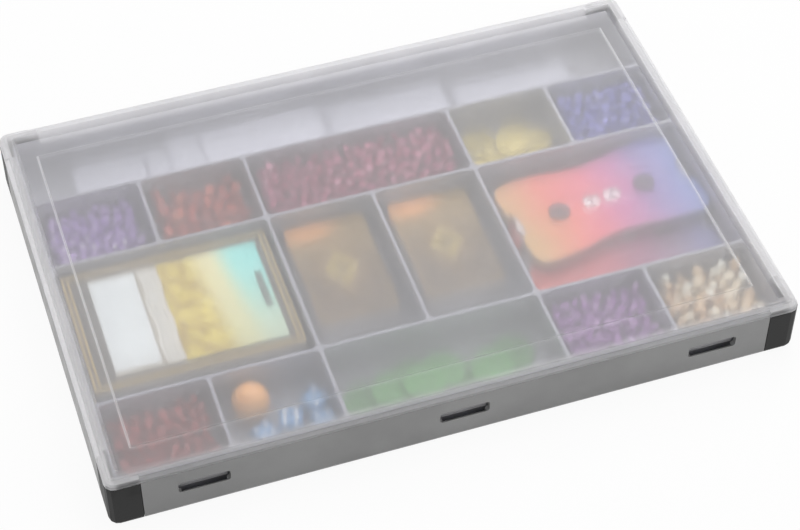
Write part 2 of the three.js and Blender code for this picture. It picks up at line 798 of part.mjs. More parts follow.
// White card slips fanned along the rear compartment: their places, and how many lie under each
const slipShares = [
  [-0.322, 0.03, 0], [-0.205, -0.06, 1], [-0.167, 0.1, 2], [-0.112, 0.08, 3],
  [-0.032, 0.1, 0], [0.098, 0.04, 1], [0.31, -0.08, 0],
];
const slipTurns = [-0.03, 0.02, -0.02, 0.05, 0, 0.02, 0.01];
slipShares.forEach(([shareX, shareY, under], i) => {
  addContent(`card_slip_${i + 1}`, cardBlock(slipWidth, slipDepth, slipThickness), looks.slip,
    'slips', [shareX, shareY], under * (slipThickness + seatGap), slipTurns[i]);
});

// Two score counters, the upper one lying across the lower one
const counterPlaces = [
  { name: 'lower', shares: [0.007, -0.135], level: 0, turn: -0.03 },
  { name: 'upper', shares: [0.017, 0.122], level: 1, turn: 0.11 },
];
for (const { name, shares, level, turn } of counterPlaces) {
  const { width, depth, x, y } = compartment('counters');
  const counter = new THREE.Group();
  counter.position.set(
    x + width * shares[0], y + depth * shares[1], contentsFloor + level * (counterHeight + seatGap));
  counter.rotation.z = turn;
  box.add(counter);
  addPiece(`counter_${name}_back`, counterBack(), looks.counterBack, { parent: counter });
  addPiece(`counter_${name}_cover`, counterCover(), looks.counter, { parent: counter });
  dialCentres().forEach((dialX, i) => {
    const place = { x: dialX, parent: counter };
    const digit = i === 0 ? 'tens' : 'units';
    addPiece(`counter_${name}_${digit}_dial`, counterDial(), looks.dial, place);
    addPiece(`counter_${name}_${digit}_hub`, counterHub(), looks.hub, place);
  });
}

// Heaps of stones, each with its own share of a turn so that no two look alike
const heaps = [
  { name: 'violet_crystals', look: looks.violet, where: 'violetStones', turnShare: 0.01 },
  { name: 'red_crystals', look: looks.red, where: 'redStones', turnShare: 0.05 },
  { name: 'crimson_crystals', look: looks.crimson, where: 'crimsonStones', turnShare: 0.09 },
  { name: 'blue_crystals', look: looks.blue, where: 'blueStones', turnShare: 0.13 },
  { name: 'red_front_crystals', look: looks.red, where: 'redFrontStones', turnShare: 0.17 },
  { name: 'violet_front_crystals', look: looks.violet, where: 'violetFrontStones', turnShare: 0.21 },
  { name: 'amber_crystals', look: looks.amber, where: 'amberStones', turnShare: 0.25 },
];
for (const { name, look, where, turnShare } of heaps) {
  addContent(name, crystalHeap(where, turnShare), look, where, [0, 0]);
}

const coinShares = [
  [-0.27, -0.23, 0], [0.12, -0.25, 0], [-0.24, 0.23, 0], [0.15, 0.22, 0],
  [-0.08, -0.02, 1], [0.29, 0, 1], [0.05, 0.03, 2],
];
coinShares.forEach(([shareX, shareY, under], i) => {
  addContent(`coin_${i + 1}`, disc(coinDiameter, coinThickness), looks.coin,
    'coins', [shareX, shareY], under * (coinThickness + seatGap));
});

const tokenShares = [
  [-0.37, -0.03, 0], [-0.13, 0.1, 0], [0.1, -0.08, 0], [0.33, 0.08, 0],
  [-0.24, -0.02, 1], [0, 0.06, 1], [0.22, -0.05, 1], [-0.1, -0.06, 2],
];
tokenShares.forEach(([shareX, shareY, under], i) => {
  addContent(`green_token_${i + 1}`, disc(tokenDiameter, tokenThickness), looks.green,
    'tokens', [shareX, shareY], under * (tokenThickness + seatGap));
});

const ballShares = [-0.2, 0.24];
addContent('orange_ball', ball(), looks.orange, 'dice', ballShares);
const dieShares = [[-0.18, -0.24], [0.08, -0.13], [0.35, 0.05], [0.36, -0.27]];
const dieTurns = [0.4, -0.3, 0.7, 0.15];
dieShares.forEach((shares, i) => {
  addContent(`blue_die_${i + 1}`, die(), looks.blue, 'dice', shares, 0, dieTurns[i]);
});

export default box;
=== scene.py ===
"""Looks for the game counter storage box: materials, prints, loose stones, light and camera."""

import json
import math
import random

import bmesh
import bpy
from mathutils import Matrix, Vector


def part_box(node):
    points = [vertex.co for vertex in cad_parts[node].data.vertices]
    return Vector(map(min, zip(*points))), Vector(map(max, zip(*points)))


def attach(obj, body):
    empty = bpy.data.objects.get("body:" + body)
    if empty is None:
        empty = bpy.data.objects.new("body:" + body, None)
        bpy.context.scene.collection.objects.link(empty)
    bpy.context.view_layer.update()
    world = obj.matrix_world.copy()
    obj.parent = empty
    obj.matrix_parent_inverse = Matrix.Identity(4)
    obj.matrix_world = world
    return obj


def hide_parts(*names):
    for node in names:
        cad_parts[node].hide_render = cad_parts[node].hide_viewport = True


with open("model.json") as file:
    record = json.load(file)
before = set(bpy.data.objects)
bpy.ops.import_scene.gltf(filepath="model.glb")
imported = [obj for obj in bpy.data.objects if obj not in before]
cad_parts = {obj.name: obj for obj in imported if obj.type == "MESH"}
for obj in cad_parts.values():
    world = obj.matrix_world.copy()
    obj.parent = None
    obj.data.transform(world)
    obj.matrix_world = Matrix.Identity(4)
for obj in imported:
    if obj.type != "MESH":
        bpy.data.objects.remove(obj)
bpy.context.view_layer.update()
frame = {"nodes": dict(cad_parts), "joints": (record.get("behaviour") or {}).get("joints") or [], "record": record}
NODES = frame["nodes"]
JOINTS = {j["name"]: j for j in frame["joints"]}
OPENINGS = {o["name"]: o["box_m"] for o in frame["record"]["physics"]["openings"]}
MM = 0.001


# Camera

AZIMUTH, ELEVATION, ROLL = math.radians(-18.85), math.radians(48.05), math.radians(0.3)
DISTANCE, SHIFT_RIGHT, SHIFT_UP = 1.18, 0.00773, -0.00408
FOCAL_PIXELS, IMAGE_WIDTH, SENSOR = 2205.0, 800, 36.0
CLIP_START = 0.01


def place_camera():
    """A camera that looks at the box from the photograph's angle and distance."""
    back = Vector((
        math.sin(AZIMUTH) * math.cos(ELEVATION),
        -math.cos(AZIMUTH) * math.cos(ELEVATION),
        math.sin(ELEVATION),
    ))
    level_right = (-back).cross(Vector((0, 0, 1))).normalized()
    level_up = level_right.cross(-back)
    right = level_right * math.cos(ROLL) + level_up * math.sin(ROLL)
    up = level_up * math.cos(ROLL) - level_right * math.sin(ROLL)
    data = bpy.data.cameras.new("camera")
    data.sensor_width = SENSOR
    data.lens = FOCAL_PIXELS * SENSOR / IMAGE_WIDTH
    data.clip_start = CLIP_START
    camera = bpy.data.objects.new("camera", data)
    bpy.context.scene.collection.objects.link(camera)
    turn = Matrix((right, up, back)).transposed().to_4x4()
    place = back * DISTANCE + level_right * SHIFT_RIGHT + level_up * SHIFT_UP
    camera.matrix_world = Matrix.Translation(place) @ turn
    bpy.context.scene.camera = camera


place_camera()


# Node materials

class Net:
    """A material's node tree, built one call at a time."""

    def __init__(self, name):
        self.material = bpy.data.materials.new(name)
        self.material.use_nodes = True
        self.tree = self.material.node_tree
        self.tree.nodes.clear()

    def add(self, kind, inputs=None, output=0, **settings):
        node = self.tree.nodes.new("ShaderNode" + kind)
        for key, value in settings.items():
            setattr(node, key, value)
        for key, value in (inputs or {}).items():
            self.feed(node.inputs[key], value)
        return node.outputs[output]

    def feed(self, socket, value):
        if isinstance(value, bpy.types.NodeSocket):
            self.tree.links.new(value, socket)
        elif isinstance(value, (tuple, list)) and socket.type == "RGBA" and len(value) == 3:
            socket.default_value = (*value, 1)
        else:
            socket.default_value = value

    def math(self, operation, a, b=0.0):
        return self.add("Math", {0: a, 1: b}, operation=operation)

    def times(self, first, *others):
        """The product of all the values."""
        for other in others:
            first = self.math("MULTIPLY", first, other)
        return first

    def largest(self, first, *others):
        for other in others:
            first = self.math("MAXIMUM", first, other)
        return first

    def inverse(self, share):
        return self.math("SUBTRACT", 1.0, share)

    def distance(self, x, y):
        """How far a point lies from the origin."""
        return self.math("SQRT", self.math("ADD", self.math("POWER", x, 2.0), self.math("POWER", y, 2.0)))

    def mix(self, factor, a, b):
        node = self.tree.nodes.new("ShaderNodeMix")
        node.data_type = "RGBA"
        self.feed(node.inputs[0], factor)
        self.feed(node.inputs[6], a)
        self.feed(node.inputs[7], b)
        return node.outputs[2]

    def smooth(self, value, low, high, to_low=0.0, to_high=1.0):
        """value mapped from low..high to to_low..to_high with soft ends."""
        return self.add("MapRange", {
            "Value": value, "From Min": low, "From Max": high, "To Min": to_low, "To Max": to_high,
        }, interpolation_type="SMOOTHSTEP")

    def line(self, value, centre, inner, outer):
        """1 within inner of the centre, 0 beyond outer."""
        rising = self.smooth(value, centre - outer, centre - inner)
        return self.times(rising, self.smooth(value, centre + inner, centre + outer, 1.0, 0.0))

    def ramp(self, value, stops):
        """The colour at a value, from pairs of place and colour."""
        node = self.tree.nodes.new("ShaderNodeValToRGB")
        self.tree.links.new(value, node.inputs[0])
        elements = node.color_ramp.elements
        while len(elements) > 1:
            elements.remove(elements[0])
        elements[0].position, elements[0].color = stops[0][0], (*stops[0][1], 1)
        for where, colour in stops[1:]:
            elements.new(where).color = (*colour, 1)
        return node.outputs[0]

    def position(self):
        return self.add("TexCoord", output="Object")

    def split(self, vector):
        node = self.tree.nodes.new("ShaderNodeSeparateXYZ")
        self.tree.links.new(vector, node.inputs[0])
        return node.outputs[0], node.outputs[1], node.outputs[2]

    def noise(self, scale, detail=2.0, roughness=0.5, vector=None, output=0):
        return self.add("TexNoise", {
            "Vector": vector or self.position(), "Scale": scale, "Detail": detail, "Roughness": roughness,
        }, output=output)

    def bump(self, height, distance):
        return self.add("Bump", {"Height": height, "Distance": distance})

    def principled(self, inputs):
        return self.add("BsdfPrincipled", inputs)

    def blend(self, factor, first, second):
        return self.add("MixShader", {0: factor, 1: first, 2: second})

    def surface(self, shader):
        out = self.tree.nodes.new("ShaderNodeOutputMaterial")
        self.tree.links.new(shader, out.inputs["Surface"])
        return self.material


def dimmed(colour, share):
    return tuple(c * share for c in colour)


def wear(node, material):
    """Gives a CAD node this material on every slot."""
    mesh = NODES[node].data
    if not mesh.materials:
        mesh.materials.append(material)
    for i in range(len(mesh.materials)):
        mesh.materials[i] = material


def middle(node):
    low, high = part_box(node)
    return (low + high) / 2


def half_size(node):
    """Half of a node's width and of its depth, in millimetres."""
    low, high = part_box(node)
    return (high.x - low.x) / 2 / MM, (high.y - low.y) / 2 / MM


# Moulded plastic and rubber

FLOW_SCALE, POLISH_SCALE, POLISH_SPREAD = 26, 140, 0.06
GRAIN_DEPTH = 0.03 * MM


def flow_marks(net):
    return net.smooth(net.noise(FLOW_SCALE, 3), 0.35, 0.65)


def plastic(net, shade, roughness, grain):
    """The finish of moulded plastic: a fine grain, and a roughness that varies a little."""
    low, high = roughness - POLISH_SPREAD, roughness + POLISH_SPREAD
    return net.surface(net.principled({
        "Base Color": shade, "Roughness": net.smooth(net.noise(POLISH_SCALE, 2), 0.3, 0.7, low, high),
        "Normal": net.bump(net.noise(grain, 2), GRAIN_DEPTH),
    }))


def moulded(name, colour, roughness, mottle=0.06, grain=2600):
    """Plain moulded plastic with faint flow marks."""
    net = Net(name)
    lighter = tuple(min(1, c) for c in dimmed(colour, 1 + mottle))
    return plastic(net, net.mix(flow_marks(net), dimmed(colour, 1 - mottle), lighter), roughness, grain)


# How far down from the insert's top the painted light on the walls and the painted shade on the tops reach.
UPPER_FROM, UPPER_TO, TOP_SHADE_FROM, TOP_SHADE_TO = 8 * MM, 1 * MM, 0.5 * MM, 0.2 * MM


def insert_plastic():
    """Grey moulded plastic, with painted light that makes its walls paler towards the top and painted shade that
    darkens the tops.
    """
    net = Net("insert_plastic")
    shade = net.mix(flow_marks(net), (0.315, 0.315, 0.352), (0.355, 0.355, 0.395))
    _, _, z = net.split(net.position())
    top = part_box("compartment_insert")[1].z
    # Painted light: the walls are paler towards the top, near the lid.
    upper = net.smooth(z, top - UPPER_FROM, top - UPPER_TO, 0.0, 0.8)
    shade = net.mix(upper, shade, (0.46, 0.46, 0.51))
    # Painted shade: the tops are darkened against the light that falls on them.
    painted_top_shade = net.smooth(z, top - TOP_SHADE_FROM, top - TOP_SHADE_TO, 0.0, 0.9)
    shade = net.mix(painted_top_shade, shade, (0.25, 0.25, 0.295))
    return plastic(net, shade, 0.46, 1800)


def rubber():
    """Black rubber with a fine cell grain and a little dust."""
    net = Net("guard_rubber")
    dust = net.smooth(net.noise(60, 4, 0.6), 0.45, 0.75)
    grain = net.add("TexVoronoi", {"Vector": net.position(), "Scale": 1500.0}, feature="F1")
    return net.surface(net.principled({
        "Base Color": net.mix(dust, (0.006, 0.006, 0.006), (0.013, 0.013, 0.013)),
        "Roughness": net.smooth(dust, 0, 1, 0.5, 0.66),
        "Normal": net.bump(grain, 0.04 * MM), "Specular IOR Level": 0.35,
    }))


wear("base_tray", moulded("tray_plastic", (0.285, 0.285, 0.285), 0.36))
wear("compartment_insert", insert_plastic())
guard_rubber = rubber()
for side in ("front_left", "front_right", "rear_right", "rear_left"):
    wear(f"corner_guard_{side}", guard_rubber)


# Lid: its lengths are in millimetres, and a fade is two distances in from the lid's edge

LID_HALF = tuple(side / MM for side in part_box("lid")[1].xy)
WALL_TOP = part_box("base_tray")[1].z / MM
FLANGE_THICKNESS, TONGUE_DROP, STEP_INSET = 1.4, 3.7, (17.4, 21.3)
FLANGE_TOP = WALL_TOP + FLANGE_THICKNESS
TONGUE_TOP = WALL_TOP - TONGUE_DROP
STEP_HALF = (LID_HALF[0] - STEP_INSET[0], LID_HALF[1] - STEP_INSET[1])

# How far in from each edge the rim's milkiness and its painted backlight reach.
RIGHT_FADE, LEFT_FADE, REAR_FADE, FRONT_FADE = (11.0, 3.0), (7.5, 3.0), (15.0, 5.0), (5.0, 3.0)
GUARD_FADE, CAP_FADE = (22.0, 20.0), (4.5, 3.5)
FLANGE_FADE, FLANGE_DIM_FADE = (3.2, 2.6), (2.2, 1.2)
FRONT_RIM_WHITE, TONGUE_WHITE, GUARD_DARK = 0.6, 0.4, 0.8
FRONT_RIM_RISE, FLANGE_SOFT, FLANGE_EDGE_SHARE, TONGUE_SOFT = (0.5, 1.5), 0.3, 0.6, 1.0
STEP_WHITE, REAR_STEP_SHARE, FRONT_STEP_SHARE = 0.75, 0.55, 0.42
SIDE_LINE, END_LINE, STEP_SOFT = (0.4, 0.8), (0.3, 0.7), 0.4
VEIL_FROM, VEIL_TO, VEIL_LEAN, VEIL_SHARES = 40.0, 220.0, 0.8, (0.32, 0.38)
RIM_VEIL_SHARE, SHARP_SHARES, SPREAD_SHARES = 0.54, (0.42, 0.13), (0.30, 0.45)


def from_edge(net, value, half, fade, to_low=0.0, to_high=1.0):
    """A soft change between two distances inside an edge."""
    return net.smooth(value, half - fade[0], half - fade[1], to_low, to_high)


def guard_seen(net, x, y):
    """1 where a black guard shows through the lid, inside its outermost edge."""
    across, along = net.math("ABSOLUTE", x), net.math("ABSOLUTE", y)
    return net.times(
        from_edge(net, across, LID_HALF[0], GUARD_FADE),
        from_edge(net, along, LID_HALF[1], GUARD_FADE),
        from_edge(net, across, LID_HALF[0], CAP_FADE, 1.0, 0.0),
        from_edge(net, along, LID_HALF[1], CAP_FADE, 1.0, 0.0),
    )


def milky_rim(net, x, y, z):
    """1 where the rim is milky: its thick plastic scatters more, and the rear and side rims are also painted
    bright as if lit from behind; less on the front rim, which faces away from the lamps and fades out at its foot,
    less on the tongues and over the guards.
    """
    left, front = net.times(x, -1.0), net.times(y, -1.0)
    front_rim = net.times(from_edge(net, front, LID_HALF[1], FRONT_FADE, 0.0, FRONT_RIM_WHITE),
                          net.smooth(z, FLANGE_TOP + FRONT_RIM_RISE[0], FLANGE_TOP + FRONT_RIM_RISE[1]))
    rim = net.largest(
        from_edge(net, x, LID_HALF[0], RIGHT_FADE),
        from_edge(net, left, LID_HALF[0], LEFT_FADE),
        from_edge(net, y, LID_HALF[1], REAR_FADE),
        front_rim,
        net.smooth(z, TONGUE_TOP - TONGUE_SOFT, TONGUE_TOP, TONGUE_WHITE, 0.0),
    )
    return net.times(rim, net.inverse(net.times(guard_seen(net, x, y), GUARD_DARK)))


def front_flange(net, y, z):
    """Painted shade on the front flange, where the grey wall under it shows through: 1 there, and less towards its
    edge.
    """
    front = net.times(y, -1.0)
    return net.times(
        from_edge(net, front, LID_HALF[1], FLANGE_FADE),
        net.inverse(net.smooth(z, FLANGE_TOP, FLANGE_TOP + FLANGE_SOFT)),
        from_edge(net, front, LID_HALF[1], FLANGE_DIM_FADE, 1.0, FLANGE_EDGE_SHARE),
    )


def step_line(net, x, y):
    """A painted highlight along the panel's step: clearest at the sides, fainter at the rear and front."""
    across, along, front = net.math("ABSOLUTE", x), net.math("ABSOLUTE", y), net.times(y, -1.0)
    within_width = net.smooth(across, STEP_HALF[0], STEP_HALF[0] + STEP_SOFT, 1.0, 0.0)
    within_depth = net.smooth(along, STEP_HALF[1], STEP_HALF[1] + STEP_SOFT, 1.0, 0.0)
    sides = net.times(net.line(across, STEP_HALF[0], *SIDE_LINE), within_depth)
    rear = net.times(net.line(y, STEP_HALF[1], *END_LINE), within_width, REAR_STEP_SHARE)
    near = net.times(net.line(front, STEP_HALF[1], *END_LINE), within_width, FRONT_STEP_SHARE)
    return net.times(net.largest(sides, rear, near), STEP_WHITE)


def frosted():
    """Frosted clear plastic: light passes straight or blurred, spreads wide or turns back."""
    net = Net("frosted_lid")
    x, y, z = (net.math("DIVIDE", part, MM) for part in net.split(net.position()))
    # Painted light: the milky rim is brighter at the rear and the sides, and a painted highlight runs round the
    # panel's step.
    white = net.largest(milky_rim(net, x, y, z), step_line(net, x, y))
    # Painted shade: on the front flange, the tint and the light passed straight through are dimmed, most near the
    # rim's foot.
    flange = front_flange(net, y, z)
    normal = net.bump(net.noise(2400, 2), 0.02 * MM)
    haze = net.smooth(net.noise(30, 3), 0.3, 0.7)
    tint = net.mix(haze, (0.922, 0.918, 0.93), (0.96, 0.955, 0.968))
    tint = net.mix(flange, tint, (0.45, 0.45, 0.46))
    blurred = net.principled({
        "Base Color": tint, "Roughness": 0.36, "IOR": 1.2, "Transmission Weight": 1.0, "Normal": normal,
    })
    film = net.principled({"Base Color": tint, "Roughness": 0.38, "IOR": 1.45, "Normal": normal})
    spread = net.add("BsdfTranslucent", {"Color": tint, "Normal": normal})
    veil = net.blend(net.smooth(white, 0, 1, *SPREAD_SHARES), film, spread)
    to_rear_left = net.math("SUBTRACT", net.times(y, VEIL_LEAN), x)
    veiled = net.math("ADD", net.smooth(to_rear_left, VEIL_FROM, VEIL_TO, *VEIL_SHARES),
                      net.times(white, RIM_VEIL_SHARE))
    body = net.blend(veiled, blurred, veil)
    passed = net.mix(flange, (0.98, 0.98, 0.98), (0.55, 0.55, 0.56))
    straight = net.add("BsdfTransparent", {"Color": passed})
    body = net.blend(net.smooth(white, 0, 1, *SHARP_SHARES), body, straight)
    for_lamps = net.add("BsdfTransparent", {"Color": (0.90, 0.90, 0.90)})
    return net.surface(net.blend(net.add("LightPath", output="Is Shadow Ray"), body, for_lamps))


wear("lid", frosted())


# Prints and cards, in millimetres from each card's own middle

FIBRE_DEPTH = 0.02 * MM
EDGE_PITCH, EDGE_COLOUR, PICTURE_EDGE = 0.3, (0.78, 0.76, 0.72), (0.80, 0.78, 0.74)
SLIP_MARGIN = (1.6, 1.4)
DECK_GROUND = (0.095, 0.053, 0.016)
DECK_FRAME, DECK_FRAME_WIDTH = 2.2, 1.0
CORNER_PLACE_SHARES, CORNER_SQUASH, CORNER_FADE = (0.5, 0.9), 2.1, (5.0, 24.0)
LOZENGE_SQUASH, LOZENGE_GLOW, LOZENGE, LOZENGE_EYE = 0.8, (6.0, 24.0), (8.5, 10.5), (4.2, 5.4)

WHITE_PANEL = {"half_width": 12.0, "half_depth": 31.0, "soft": 0.7, "centre": (-30.0, 1.0)}
STRIP = {"half_width": 4.8, "half_depth": 32.0, "soft": 0.5, "centre": (-11.0, 0.0)}
STRIP_FOLDS = {"half_width": 4.2, "half_depth": 31.0, "soft": 0.5, "centre": (-11.0, 0.0)}
DARK_BAR = {"half_width": 1.9, "half_depth": 12.5, "soft": 0.6, "centre": (43.5, 0.5)}
PICTURE = {"half_width": 47.5, "half_depth": 33.5, "soft": 0.5}
GILT_LINES, GILT_WIDTH = ((52.0, 37.5), (54.4, 39.9)), 1.0
LEFT_GROUND, LEFT_MOUNT = (-7.0, -5.0), (-42.5, -41.5)
YELLOW_END, CREAM_END = (10.0, 24.0), (24.0, 38.0)
WASH_FROM, WASH_TO, WASH_LEAN = -34.0, 26.0, 0.12
SWAY_PITCH, SWAY, FOLD_PITCH = 0.22, 0.7, 2.6


def local(net, centre, turn_by=0.0):
    """Coordinates in millimetres from a card's or counter's middle, along its own axes."""
    shifted = net.add("Mapping", {
        "Vector": net.position(), "Location": tuple(centre), "Rotation": (0, 0, turn_by),
        "Scale": (MM, MM, MM),
    }, vector_type="TEXTURE")
    return *net.split(shifted), shifted


def inside(net, x, y, half_width, half_depth, soft=0.4, centre=(0.0, 0.0)):
    """1 inside a rectangle, 0 outside, with a soft edge."""
    along = net.math("ABSOLUTE", net.math("SUBTRACT", x, centre[0]))
    across = net.math("ABSOLUTE", net.math("SUBTRACT", y, centre[1]))
    return net.times(net.smooth(along, half_width - soft, half_width + soft, 1.0, 0.0),
                     net.smooth(across, half_depth - soft, half_depth + soft, 1.0, 0.0))


def outline(net, x, y, half_width, half_depth, width, soft=0.4):
    """1 on the line round a rectangle."""
    return net.math("SUBTRACT", inside(net, x, y, half_width, half_depth, soft),
                    inside(net, x, y, half_width - width, half_depth - width, soft))


def faces_up(net):
    _, _, z = net.split(net.add("NewGeometry", output="Normal"))
    return net.smooth(z, 0.3, 0.7)


def stacked_edges(net, z):
    wave = net.math("SINE", net.times(z, 2 * math.pi / EDGE_PITCH))
    return net.mix(net.smooth(wave, -1, 1), dimmed(EDGE_COLOUR, 0.72), EDGE_COLOUR)


def finish_card(net, shade, roughness):
    return net.surface(net.principled({
        "Base Color": shade, "Roughness": roughness, "Normal": net.bump(net.noise(900, 3), FIBRE_DEPTH),
    }))


def slip_card(name, node):
    """A white slip, a little darker round its edge."""
    net = Net(name)
    x, y, _, _ = local(net, middle(node))
    half_width, half_depth = half_size(node)
    fibre = net.smooth(net.noise(320, 4, 0.6), 0.3, 0.7)
    face = inside(net, x, y, half_width - SLIP_MARGIN[0], half_depth - SLIP_MARGIN[1], 0.9)
    white = net.mix(fibre, (0.58, 0.585, 0.665), (0.65, 0.655, 0.735))
    return finish_card(net, net.mix(face, (0.42, 0.42, 0.49), white), 0.7)


def deck_card(name, node, glow):
    """A brown card back, warmer to the top: a thin frame, a glow in one corner and a plain lozenge."""
    net = Net(name)
    x, y, z, _ = local(net, middle(node))
    half_width, half_depth = half_size(node)
    shade = net.mix(net.smooth(net.noise(70, 4, 0.6), 0.35, 0.7), DECK_GROUND, dimmed(DECK_GROUND, 1.5))
    shade = net.mix(net.smooth(y, -half_depth * 0.3, half_depth, 0.0, glow), shade, (0.30, 0.18, 0.03))
    corner_x = net.math("ADD", x, half_width * CORNER_PLACE_SHARES[0])
    corner_y = net.math("SUBTRACT", y, half_depth * CORNER_PLACE_SHARES[1])
    corner = net.distance(corner_x, net.times(corner_y, CORNER_SQUASH))
    shade = net.mix(net.smooth(corner, *CORNER_FADE, glow, 0.0), shade, (0.95, 0.40, 0.11))
    lozenge = net.math("ADD", net.math("ABSOLUTE", x), net.times(net.math("ABSOLUTE", y), LOZENGE_SQUASH))
    shade = net.mix(net.smooth(lozenge, *LOZENGE_GLOW, 0.45, 0.0), shade, (0.30, 0.17, 0.03))
    shade = net.mix(net.smooth(lozenge, *LOZENGE, 0.75, 0.0), shade, (0.42, 0.31, 0.05))
    shade = net.mix(net.smooth(lozenge, *LOZENGE_EYE, 0.6, 0.0), shade, DECK_GROUND)
    framed = outline(net, x, y, half_width - DECK_FRAME, half_depth - DECK_FRAME, DECK_FRAME_WIDTH)
    shade = net.mix(net.times(framed, 0.5), shade, (0.38, 0.24, 0.06))
    return finish_card(net, net.mix(faces_up(net), stacked_edges(net, z), shade), 0.4)


def picture_wash(net, x, y, shifted):
    """Rippled yellow that turns to cream and then to aqua, with a plain ground at the left."""
    ripple = net.add("TexNoise", {"Vector": shifted, "Scale": 0.11, "Detail": 3.0})
    yellow = net.mix(net.smooth(ripple, 0.35, 0.65), (0.40, 0.27, 0.02), (0.70, 0.56, 0.07))
    higher = net.smooth(y, WASH_FROM, WASH_TO)
    cream = net.mix(higher, (0.62, 0.62, 0.34), (0.74, 0.68, 0.36))
    aqua = net.mix(higher, (0.50, 0.62, 0.46), (0.24, 0.72, 0.68))
    leaning = net.math("ADD", x, net.times(y, WASH_LEAN))
    shade = net.mix(net.smooth(leaning, *YELLOW_END), yellow, cream)
    shade = net.mix(net.smooth(leaning, *CREAM_END), shade, aqua)
    return net.mix(net.smooth(x, *LEFT_GROUND, 1.0, 0.0), shade, (0.36, 0.33, 0.27))


def picture_card(name, node):
    """The large card: a double gilt frame, a white panel, a folded strip and a wash with a dark bar."""
    net = Net(name)
    x, y, _, shifted = local(net, middle(node))
    shade = picture_wash(net, x, y, shifted)
    shade = net.mix(inside(net, x, y, **DARK_BAR), shade, (0.10, 0.13, 0.12))
    strip_x = net.math("ADD", x, net.times(net.math("SINE", net.times(y, SWAY_PITCH)), SWAY))
    shade = net.mix(inside(net, strip_x, y, **STRIP), shade, (0.62, 0.61, 0.57))
    folds = net.smooth(net.math("SINE", net.times(strip_x, FOLD_PITCH)), 0.3, 0.9, 0.0, 0.6)
    folded = net.times(inside(net, strip_x, y, **STRIP_FOLDS), folds)
    shade = net.mix(folded, shade, (0.30, 0.29, 0.25))
    shade = net.mix(inside(net, x, y, **WHITE_PANEL), shade, (0.70, 0.74, 0.75))
    beyond = net.largest(net.inverse(inside(net, x, y, **PICTURE)), net.smooth(x, *LEFT_MOUNT, 1.0, 0.0))
    shade = net.mix(beyond, shade, (0.075, 0.065, 0.055))
    for half_width, half_depth in GILT_LINES:
        line = outline(net, x, y, half_width, half_depth, GILT_WIDTH, 0.3)
        shade = net.mix(line, shade, (0.46, 0.31, 0.07))
    return finish_card(net, net.mix(faces_up(net), PICTURE_EDGE, shade), 0.35)


SLIPS = 7
for i in range(1, SLIPS + 1):
    wear(f"card_slip_{i}", slip_card(f"slip_card_{i}", f"card_slip_{i}"))
wear("card_deck_left", deck_card("deck_card_left", "card_deck_left", 0.85))
wear("card_deck_right", deck_card("deck_card_right", "card_deck_right", 1.0))
wear("large_card_deck", deck_card("deck_card_large", "large_card_deck", 0.0))
wear("large_picture_card", picture_card("picture_card", "large_picture_card"))


# Score counters

COUNTER_TURNS = {"lower": -0.03, "upper": 0.11}
COUNTER_LENGTH = 105.0
UPPER_STOPS = [
    (0.0, (0.58, 0.34, 0.09)), (0.12, (0.64, 0.24, 0.07)), (0.28, (0.73, 0.11, 0.07)),
    (0.45, (0.65, 0.07, 0.15)), (0.60, (0.50, 0.08, 0.28)), (0.78, (0.20, 0.12, 0.37)),
    (1.0, (0.13, 0.20, 0.53)),
]
LOWER_STOPS = [
    (0.0, (0.72, 0.12, 0.10)), (0.4, (0.56, 0.07, 0.11)), (0.62, (0.32, 0.06, 0.17)),
    (0.8, (0.18, 0.11, 0.22)), (1.0, (0.13, 0.14, 0.40)),
]
DIGIT_SIZE, DIGIT_THICKNESS, DIGIT_LIFT, DIGIT_RING = 8.2 * MM, 0.12 * MM, 0.08 * MM, 19.5 * MM
DIGITS, DIGIT_CURVE_STEPS = 10, 3
SHOWN_DIGITS = {"upper_tens": 2, "upper_units": 4, "lower_tens": 1, "lower_units": 8}


def counter_print(name, level, stops, dull=0.0):
    """Bands of colour that run along the counter, dulled by a share of brown."""
    net = Net(name)
    x, _, _, shifted = local(net, middle(f"counter_{level}_cover"), COUNTER_TURNS[level])
    sway = net.add("TexNoise", {"Vector": shifted, "Scale": 0.03, "Detail": 2.0})
    along = net.math("DIVIDE", net.math("ADD", x, COUNTER_LENGTH / 2), COUNTER_LENGTH)
    along = net.math("ADD", along, net.times(net.math("SUBTRACT", sway, 0.5), 0.25))
    shade = net.mix(dull, net.ramp(along, stops), (0.16, 0.07, 0.09))
    return finish_card(net, net.mix(faces_up(net), (0.55, 0.50, 0.47), shade), 0.4)


def add_object(name, mesh, material, body, smooth=False):
    mesh.materials.clear()
    mesh.materials.append(material)
    for polygon in mesh.polygons:
        polygon.use_smooth = smooth
    piece = bpy.data.objects.new(name, mesh)
    bpy.context.scene.collection.objects.link(piece)
    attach(piece, body)
    return piece


def built_mesh(name, build):
    mesh = bpy.data.meshes.new(name)
    build.to_mesh(mesh)
    build.free()
    return mesh


def digit_mesh(text):
    curve = bpy.data.curves.new("digit", "FONT")
    curve.body = text
    curve.size = DIGIT_SIZE
    curve.align_x, curve.align_y = "CENTER", "CENTER"
    curve.extrude = DIGIT_THICKNESS / 2
    curve.resolution_u = DIGIT_CURVE_STEPS
    holder = bpy.data.objects.new("digit", curve)
    bpy.context.scene.collection.objects.link(holder)
    mesh = bpy.data.meshes.new_from_object(holder.evaluated_get(bpy.context.evaluated_depsgraph_get()))
    bpy.data.objects.remove(holder)
    return mesh


